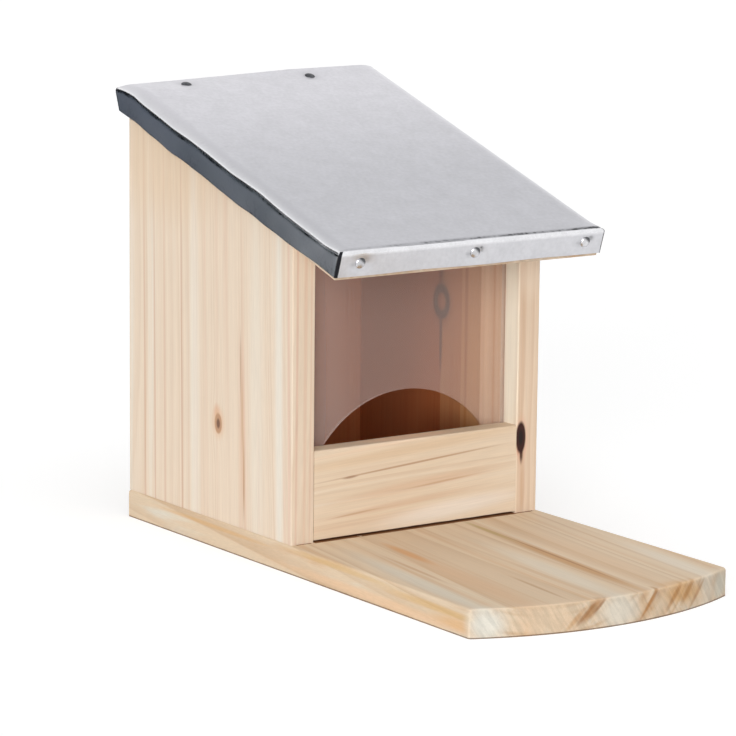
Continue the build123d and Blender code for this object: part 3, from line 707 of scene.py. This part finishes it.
def roof_skin():
    """Outer skin in four strips: the top, the two sides and the front, which meet in mitres at the front corners.
    Round a bend of radius r from lean a to a quarter turn, the skin goes out by r (sin t - sin a) and down by
    Gives the points, the faces, how burnished and highlighted each point is, and how far it is darkened, partly as
    painted shade."""
    share = np.concatenate([np.linspace(0, fine_front, 137)[:-1], np.linspace(fine_front, 1, 15)])
    across = np.concatenate([np.linspace(-1, -fine_side, 15)[:-1], np.linspace(-fine_side, fine_side, 61),
                             np.linspace(fine_side, 1, 15)[1:]])
    amount = np.concatenate([np.linspace(0, 1, 9), np.linspace(1.12, 1.94, 8), [2.0]])
    # The burnished list carries the burnish and its painted highlight.
    points, faces, burnished, darkened_and_shaded, cut = [], [], [], [], []

    def add(strip, polish_and_highlight, darkening_and_painted_shade, at_cut):
        start = sum(part.shape[0] * part.shape[1] for part in points)
        points.append(strip)
        faces.extend(grid_faces(strip.shape[0], strip.shape[1], start).tolist())
        burnished.append(np.broadcast_to(polish_and_highlight, strip.shape[:2]).ravel())
        darkened_and_shaded.append(np.broadcast_to(darkening_and_painted_shade, strip.shape[:2]).ravel())
        cut.append(np.broadcast_to(at_cut, strip.shape[:2]).ravel())

    run, place = np.meshgrid(share * flat_length, across, indexing="ij")
    offset = place * np.where(place < 0, crease(-1, run), crease(1, run))
    edge = np.clip((np.abs(offset) - half_width + shoulder_width) / shoulder_width, 0, 1)
    drop = sheet_drop(offset, run)
    # Painted dark reflection just behind the front bend.
    before_bend = dark_line_reflection * bell((run - flat_length + line_setback) ** 2, line_width)
    # Darker along the left shoulder and round each rear nail.
    darker_shoulder = shoulder_darkening * edge * (1 - edge**3) * (place < 0)
    nailed = sum(
        rear_nail_darkening * bell((offset - column) ** 2 + (run - rear_nail_run) ** 2, rear_nail_darkening_radius)
        for column in rear_nail_columns)
    # The shoulder's outer edge gets the burnish and a painted highlight.
    add(on_roof(offset, kept_in(run, drop), drop), 0.9 * edge**3,
        np.maximum(darker_shoulder + nailed, before_bend * np.clip(0.6 + 0.5 * place, 0.2, 1)), run <= 0)

    for side in (-1, 1):
        part, turn = np.meshgrid(share, amount, indexing="ij")
        run = part * flat_length
        lean = shoulder(side, run)[1]
        angle = lean + np.clip(turn, 0, 1) * (math.pi / 2 - lean)
        out = bend_radius * (np.sin(angle) - np.sin(lean))
        top = sheet_drop(side * crease(side, run), run)
        bend_end = top + bend_radius * np.cos(lean)
        straight = np.clip(turn - 1, 0, 1)
        drop = np.where(
            turn <= 1, top + bend_radius * (np.cos(lean) - np.cos(angle)),
            bend_end + straight * (lower_edge(side, run) - bend_end))
        clipped = rear_clip * np.clip((drop - bend_end) / fold_depth, 0, 1)
        seam = corner_seam * np.clip(straight / 0.1, 0, 1)
        bend_out = bend_radius * np.sin(np.clip(turn, 0, 1) * math.pi / 2)
        run = kept_in(clipped + part * (flat_length + bend_out - seam - clipped), drop)
        sway = straight * (slow_sway * (1 + np.sin(17 * part + side)) + quick_sway * (1 + np.sin(43 * part)))
        strip = on_roof(side * (crease(side, part * flat_length) + out - sway), run, drop)
        # Bends fully, and flanges partly, get the burnish and its painted highlight.
        polish_and_highlight = np.where(turn <= 1, 1.0, 0.6)
        at_cut = (part <= 0) | (part >= 1) & (turn > 1) | (turn >= 2)
        # A darker band where the left bend meets its flange, and darker blotches on both flanges.
        darker_bend_band = bend_band_darkening * bell((turn - bend_band_turn) ** 2, bend_band_width) * (side < 0)
        darker_bend_band = darker_bend_band * (0.3 + 0.7 * np.sin(23 * part + 0.6) ** 2)
        blotched = flange_blotching * straight * (0.5 + 0.5 * np.sin(31 * part) * np.sin(11 * part + 1))
        flange_darkening = np.maximum(cut_edge_darkening * at_cut, darker_bend_band + blotched)
        if side < 0:
            strip, polish_and_highlight, flange_darkening, at_cut = strip[:, ::-1], polish_and_highlight[:, ::-1], flange_darkening[:, ::-1], at_cut[:, ::-1]
        add(strip, polish_and_highlight, flange_darkening, at_cut)

    turn, place = np.meshgrid(amount, across, indexing="ij")
    out = bend_radius * np.sin(np.clip(turn, 0, 1) * math.pi / 2)
    straight = np.clip(turn - 1, 0, 1)
    waver = front_wave * straight * np.sin(7 * place + 1) * (1 - place**4)
    drop = bend_radius * (1 - np.cos(np.clip(turn, 0, 1) * math.pi / 2)) + straight * (fold_depth - bend_radius)
    offset = place * (half_width - bend_radius + out)
    dents = sum(
        front_dent_depth * bell((offset - column) ** 2 / 2 + (drop - front_nail_drop) ** 2, front_dent_radius)
        for column in front_nail_columns)
    # Painted dark reflections round each front nail.
    shade = sum(
        strength * bell(((offset - column - right * mm) / stretch) ** 2
                        + (drop - front_nail_drop - down * mm) ** 2, radius * mm)
        for column in front_nail_columns for strength, right, stretch, down, radius in nail_dark_reflections)
    # Painted shadow in the front corner seams, where the folds overlap.
    ends = left_seam_shadow * (place <= left_seam_place) + right_seam_shadow * (place >= 1)
    add(on_roof(offset, flat_length + out - dents * np.clip(turn, 0, 1), drop + waver),
        np.where(turn <= 1, 1.0, 0.4), np.maximum(shade, ends), (turn >= 2) | (np.abs(place) >= 1) & (turn > 1))
    return (np.concatenate([part.reshape(-1, 3) for part in points]), faces, np.concatenate(burnished),
            np.concatenate(darkened_and_shaded), np.concatenate(cut))


zinc = galvanised_steel()
skin_points, skin_faces, skin_burnish_and_highlight, skin_darkening, skin_cut = roof_skin()
sheet = mesh_piece("roof_sheet_folded", skin_points, skin_faces, zinc, "roof", "galvanised_sheet")
point_number(sheet, "burnish_and_highlight", skin_burnish_and_highlight)
point_number(sheet, "darkening_and_painted_shade", skin_darkening)
edge_ends = np.empty(2 * len(sheet.data.edges), np.int32)
sheet.data.edges.foreach_get("vertices", edge_ends)
sharp = skin_cut[edge_ends.reshape(-1, 2)].all(axis=1)
sheet.data.attributes.new("sharp_edge", "BOOLEAN", "EDGE").data.foreach_set("value", sharp)
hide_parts("roof_sheet")
welded = sheet.modifiers.new("weld", "WELD")
welded.merge_threshold = weld_distance
thickness = sheet.modifiers.new("thickness", "SOLIDIFY")
thickness.thickness = sheet_thickness
thickness.offset = -1.0
thickness.material_offset_rim = 1
print("sheet points", len(skin_points), "sharp cut edges", int(sharp.sum()))

# %% [markdown]
# ## The roof board
# The board under the sheet is planed off wherever the sheet slopes, so that the sheet lies on it. It is a closed
# outline carried down the slope, plumb at the back for the hinges and square at the front.

# %% The roof board
board_gap = 0.12 * mm
board_under_drop = 11.5 * mm
board_half_width = 61.8 * mm
board_front_run = 166.3 * mm
house_back_y = 125 * mm


def roof_board_skin():
    """Rows are stations down the slope, columns go once round the outline: along the top from left to right, then
    back along the underside. At the back each point's run is (rear edge - house back + drop sin p) / cos p."""
    share = np.linspace(0, 1, 61)
    top_offset = board_half_width * np.concatenate([
        np.linspace(-1, -0.86, 13)[:-1], np.linspace(-0.86, 0.86, 25), np.linspace(0.86, 1, 13)[1:]])
    under_offset = (board_half_width - 0.2 * mm) * np.linspace(1, -1, 9)
    offset = np.concatenate([top_offset, under_offset])
    part, offset = np.meshgrid(share, offset, indexing="ij")
    is_top = np.arange(offset.shape[1])[None, :] < len(top_offset)
    rear = (rear_edge_y - house_back_y) / math.cos(pitch)
    run = rear + part * (board_front_run - rear)
    drop = np.where(is_top, sheet_drop(offset, run) + sheet_thickness + board_gap, board_under_drop)
    plumb = drop * math.tan(pitch) * (1 - part)
    strip = on_roof(offset, run + plumb, drop)
    rows, columns = strip.shape[:2]
    closed = np.concatenate([strip, strip[:, :1]], axis=1)
    faces = grid_faces(rows, columns + 1)
    faces = np.where(faces % (columns + 1) == columns, faces - columns, faces)
    faces = (faces // (columns + 1)) * columns + faces % (columns + 1)
    rear_cap = np.arange(columns)
    front_cap = (rows - 1) * columns + np.arange(columns)[::-1]
    return closed[:, :-1].reshape(-1, 3), faces.tolist() + [rear_cap.tolist(), front_cap.tolist()]


board = mesh_piece("roof_board_planed", *roof_board_skin(), roof_spruce, "roof", "raw_spruce")
board.data.polygons.foreach_set("use_smooth", np.zeros(len(board.data.polygons), bool))
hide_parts("roof_board")

# %% [markdown]
# ## The clear pane
# A cut piece of clear acrylic slides in the grooves. It is thin and flat, so light is hardly bent by it. What
# shows is a pale veil of haze over the dark inside, raised towards the left as a painted reflection, and a thin
# light line where its sawn edge is seen.

# %% Clear acrylic
acrylic_veil = "#D8BCB2"
face_veil = 0.28
edge_veil = 0.24
haze_length = 40 * mm
# Painted reflection: the veil is raised over the left part of the pane.
reflection_side = (-44 * mm, -20 * mm)
reflection_veil = 0.5
acrylic_ior = 1.49
pane_low, pane_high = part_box("window_pane")


def clear_acrylic():
    """Acrylic sheet: see-through, with a veil on the front face that grows towards the left as a painted
    reflection, on the sawn edges, and none on the back face. Shadow rays meet no veil."""
    material, tree = new_material("clear_acrylic_sheet")
    position = node(tree, "TexCoord").outputs["Object"]
    place = node(tree, "SeparateXYZ", {"Vector": position}).outputs
    forward = carried(tree, place["Y"], (pane_high[1], pane_low[1]))
    density = ramp(tree, forward, (0.05, grey(0.0)), (0.95, grey(face_veil)), (0.3, grey(edge_veil)),
                   (0.7, grey(edge_veil)))
    haze = noise(tree, position, haze_length, 3.0)
    uneven = carried(tree, haze, end=(0.92, 1.12))
    left_reflection = carried(tree, place["X"], reflection_side, (reflection_veil, 0.0), "SMOOTHSTEP")
    unshaded = step(tree, "SUBTRACT", 1.0, node(tree, "LightPath").outputs["Is Shadow Ray"])
    seen = step(tree, "MULTIPLY", step(tree, "ADD", uneven, left_reflection), unshaded)
    coat(tree, {
        "Base Color": linear(acrylic_veil), "Roughness": carried(tree, haze, end=(0.05, 0.14)),
        "IOR": acrylic_ior, "Alpha": step(tree, "MULTIPLY", density, seen)})
    return material


dress("window_pane", clear_acrylic())

# %% [markdown]
# ## Hinges, screws and nails
# The fixings are steel with a thin zinc plate, which shines more than the dipped sheet and tarnishes in clouds.
# The round nail heads are turned here from a profile, because the eye catches their dome and the painted dark
# reflection along one side of the rim.

# %% Zinc-plated steel
scuff_size = 0.25 * mm
scuff_relief = 0.05 * mm
cloud_size = 3 * mm
# Colour of the painted dark reflection on one side of each nail head.
dark_reflection_colour = "#38393C"


def plated_steel(name, light, dark, roughness):
    """Plated steel with cloudy tarnish, fine scuffs and, where the mesh says so, a painted dark reflection."""
    material, tree = new_material(name)
    position = node(tree, "TexCoord").outputs["Object"]
    tarnish = noise(tree, position, cloud_size, 4.0)
    clouds = ramp(tree, tarnish, (0.35, linear(dark)), (0.65, linear(light)))
    painted_dark_reflection = node(tree, "Attribute", attribute_name="painted_dark_reflection").outputs["Fac"]
    coat(tree, {
        "Base Color": mix(tree, painted_dark_reflection, clouds, linear(dark_reflection_colour)), "Metallic": 1.0,
        "Roughness": carried(tree, tarnish, end=(roughness - 0.08, roughness + 0.1)),
        "Normal": raised(tree, noise(tree, position, scuff_size, 2.0), 0.2, scuff_relief)})
    return material


hinge_zinc = plated_steel("zinc_plated_steel", "#C9C9C8", "#ACABA5", 0.32)
nail_steel = plated_steel("bright_drawn_steel", "#ABA9A5", "#8A8680", 0.4)
nail_zinc = plated_steel("galvanised_nail_steel", "#E2E2E5", "#C4C4C8", 0.26)
worn_zinc = plated_steel("galvanised_nail_steel_worn", "#66676B", "#46474B", 0.4)
sheet.data.materials.append(plated_steel("sheared_zinc_steel_edge", "#56575A", "#37383B", 0.5))
for side in ("left", "right"):
    for part in ("hinge_lower_leaf", "hinge_upper_leaf", "hinge_pin"):
        dress(f"{side}_{part}", hinge_zinc)
for screws in ("lower_leaf_screws", "upper_leaf_screws"):
    dress(screws, hinge_zinc)
for nails in ("side_panel_nails", "back_panel_nails", "front_board_nails"):
    dress(nails, nail_steel)

# %% Round nails in the roof
head_radius = 2.2 * mm
head_height = 0.9 * mm
shank_radius = 0.8 * mm
shank_length = 9 * mm
tip_length = 2 * mm
point_radius = 0.05 * mm
head_lip = 0.05 * mm
lip_share = 0.96
dark_reflection_rate, dark_reflection_start, dark_reflection_limit = 2.4, 0.5, 0.9
nail_sides = 40


def turned_nails(name, spots, axis, reflection_dark_side, material, node_name):
    """Round nails in one piece. The head's height falls as the square root of 1 - (radius / rim)^2. Each profile
    point is carried round the axis at equal angles. A painted dark reflection grows towards the rim on one side."""
    sideways = np.array([1.0, 0.0, 0.0])
    swing = np.linspace(0.03, math.pi / 2, 11)
    radii = np.concatenate([
        np.sin(swing) * head_radius, [head_radius * lip_share, shank_radius, shank_radius, point_radius]])
    heights = np.concatenate([
        np.cos(swing) * head_height, [-head_lip, -head_lip, tip_length - shank_length, -shank_length]])
    turns = np.linspace(0, 2 * math.pi, nail_sides, endpoint=False)
    ring = np.cos(turns)[:, None] * sideways + np.sin(turns)[:, None] * np.cross(axis, sideways)
    nail = radii[:, None, None] * ring + heights[:, None, None] * axis
    points = np.asarray(spots)[:, None, None, :] + nail[None]
    rows = len(radii)
    corner = np.arange(rows - 1)[:, None] * nail_sides + np.arange(nail_sides)[None, :]
    after = np.arange(rows - 1)[:, None] * nail_sides + (np.arange(nail_sides)[None, :] + 1) % nail_sides
    skin = np.stack([corner, corner + nail_sides, after + nail_sides, after], axis=-1).reshape(1, -1, 4)
    caps = np.stack([np.arange(nail_sides), (rows - 1) * nail_sides + np.arange(nail_sides)[::-1]])[None]
    starts = (np.arange(len(spots)) * rows * nail_sides)[:, None, None]
    faces = (starts + skin).reshape(-1, 4).tolist() + (starts + caps).reshape(-1, nail_sides).tolist()
    piece = mesh_piece(name, points, faces, material, "roof", "galvanised_nail")
    reach = nail[:len(swing)] @ reflection_dark_side / head_radius
    painted_dark_reflection = np.zeros((len(spots), rows, nail_sides))
    painted_dark_reflection[:, :len(swing)] = np.clip(reach * dark_reflection_rate - dark_reflection_start, 0, dark_reflection_limit)
    point_number(piece, "painted_dark_reflection", painted_dark_reflection)
    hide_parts(node_name)


down_slope = np.array([0.0, -math.cos(pitch), -math.sin(pitch)])
off_slope = np.array([0.0, -math.sin(pitch), math.cos(pitch)])
upper_right = off_slope + [0.8, 0, 0]
turned_nails(
    "front_fold_nails", on_roof(front_nail_columns, sheet_length - front_nail_sink, front_nail_drop),
    down_slope, upper_right / np.linalg.norm(upper_right), nail_zinc, "roof_front_nails")
turned_nails(
    "rear_edge_nails",
    on_roof(rear_nail_columns, rear_nail_run, sheet_drop(rear_nail_columns, rear_nail_run)),
    off_slope, np.array([1.0, 0.0, 0.0]), worn_zinc, "roof_rear_nails")

# %% [markdown]
# ## The studio
# The floor is pale paper. Two broad windows light the feeder: a low one from the front left, which reaches in
# under the roof, and a high one, which lights the deck. The high one is kept out of mirrors, because from above
# the bare zinc would show it as a white patch. The pale room fills the rest. Two lamps and a dim room were chosen
# over one strong key because the walls, the deck and the roof then each get their own level.
#
# A product photograph is cut out on white. So the floor and the room show the camera, the metal and the clear
# sheet a white of strength one, while they light the feeder no more than before. The floor still takes the
# feeder's soft shadow.

# %% Floor and room
floor_reach = 6.0
floor_lift = 0.56
floor_lit, floor_seen = "#F4F4F4", "#C0C0C0"
room_level = 0.3


def seen_directly(tree):
    """One for camera, glossy and transmission rays, zero for the rays that light things."""
    rays = node(tree, "LightPath").outputs
    either = step(tree, "MAXIMUM", rays["Is Camera Ray"], rays["Is Glossy Ray"])
    return step(tree, "MAXIMUM", either, rays["Is Transmission Ray"])


def stage_piece(name, points, material):
    """A flat four-cornered piece of the studio."""
    mesh = bpy.data.meshes.new(name)
    mesh.from_pydata(points, [], [(0, 1, 2, 3)])
    mesh.materials.append(material)
    piece = bpy.data.objects.new(name, mesh)
    bpy.context.scene.collection.objects.link(piece)
    return piece


paper, tree = new_material("white_floor_paper")
looked_at = seen_directly(tree)
matt = node(tree, "BsdfDiffuse", {"Color": mix(tree, looked_at, linear(floor_lit), linear(floor_seen))})
lift = step(tree, "MULTIPLY", looked_at, floor_lift)
white = node(tree, "Emission", {"Color": linear("#FFFFFF"), "Strength": lift})
both = node(tree, "AddShader", {0: matt.outputs["BSDF"], 1: white.outputs["Emission"]})
node(tree, "OutputMaterial", {"Surface": both.outputs["Shader"]})
stage_piece("floor", [(-floor_reach, -floor_reach, 0), (floor_reach, -floor_reach, 0),
                      (floor_reach, floor_reach, 0), (-floor_reach, floor_reach, 0)], paper)

world = bpy.data.worlds.new("studio")
bpy.context.scene.world = world
world.use_nodes = True
tree = world.node_tree
tree.nodes.clear()
level = carried(tree, seen_directly(tree), end=(room_level, 1.0))
sky = node(tree, "Background", {"Color": linear("#FFFFFF"), "Strength": level})
node(tree, "OutputWorld", {"Surface": sky.outputs["Background"]})

# %% Lamps
lamp_distance = 2.0


def window_light(name, azimuth_degrees, elevation_degrees, spread_degrees, strength):
    """A broad even light from far away, spread over an angle of the sky."""
    lamp = bpy.data.lights.new(name, "SUN")
    lamp.angle = math.radians(spread_degrees)
    lamp.energy = strength
    back = outward(math.radians(azimuth_degrees), math.radians(elevation_degrees))
    right = np.cross([0.0, 0.0, 1.0], back)
    right /= np.linalg.norm(right)
    return stand(name, lamp, right, np.cross(back, right), back, back * lamp_distance)


window_light("low_window", -45, 6, 40, 2.9)
high_window = window_light("high_window", -25, 72, 60, 1.5)
high_window.visible_glossy = False

# %% [markdown]
# ## A dark card
# Bare metal shows what stands round it, so its colour is made by what it mirrors. A card stands beside the
# feeder where only glossy rays see it: blue-grey below and nearly black above. The left fold mirrors the lower
# part and the start of its bend mirrors the upper part, as a dark line. Most other zinc mirrors the pale room.

# %% Dark card
card_x = -0.2
card_near_y = 0.1
card_far_y = 0.9
card_height = 0.45
card_band = (0.16, 0.2)
card_fade = (0.2, 0.34)
near_tone, far_tone, upper_tone = "#565F65", "#545D6B", "#0C0D11"
felt, tree = new_material("dark_card_two_tone")
position = node(tree, "TexCoord").outputs["Object"]
place = node(tree, "SeparateXYZ", {"Vector": position}).outputs
lower_tone = mix(tree, carried(tree, place["Y"], card_fade), linear(near_tone), linear(far_tone))
tone = mix(tree, carried(tree, place["Z"], card_band), lower_tone, linear(upper_tone))
glow = node(tree, "Emission", {"Color": tone, "Strength": 1.0})
node(tree, "OutputMaterial", {"Surface": glow.outputs["Emission"]})
card = stage_piece("dark_card", [(card_x, card_near_y, 0), (card_x, card_far_y, 0),
                                 (card_x, card_far_y, card_height), (card_x, card_near_y, card_height)], felt)
for ray in ("camera", "diffuse", "shadow", "transmission"):
    setattr(card, f"visible_{ray}", False)

bpy.context.scene.view_settings.view_transform = "Standard"
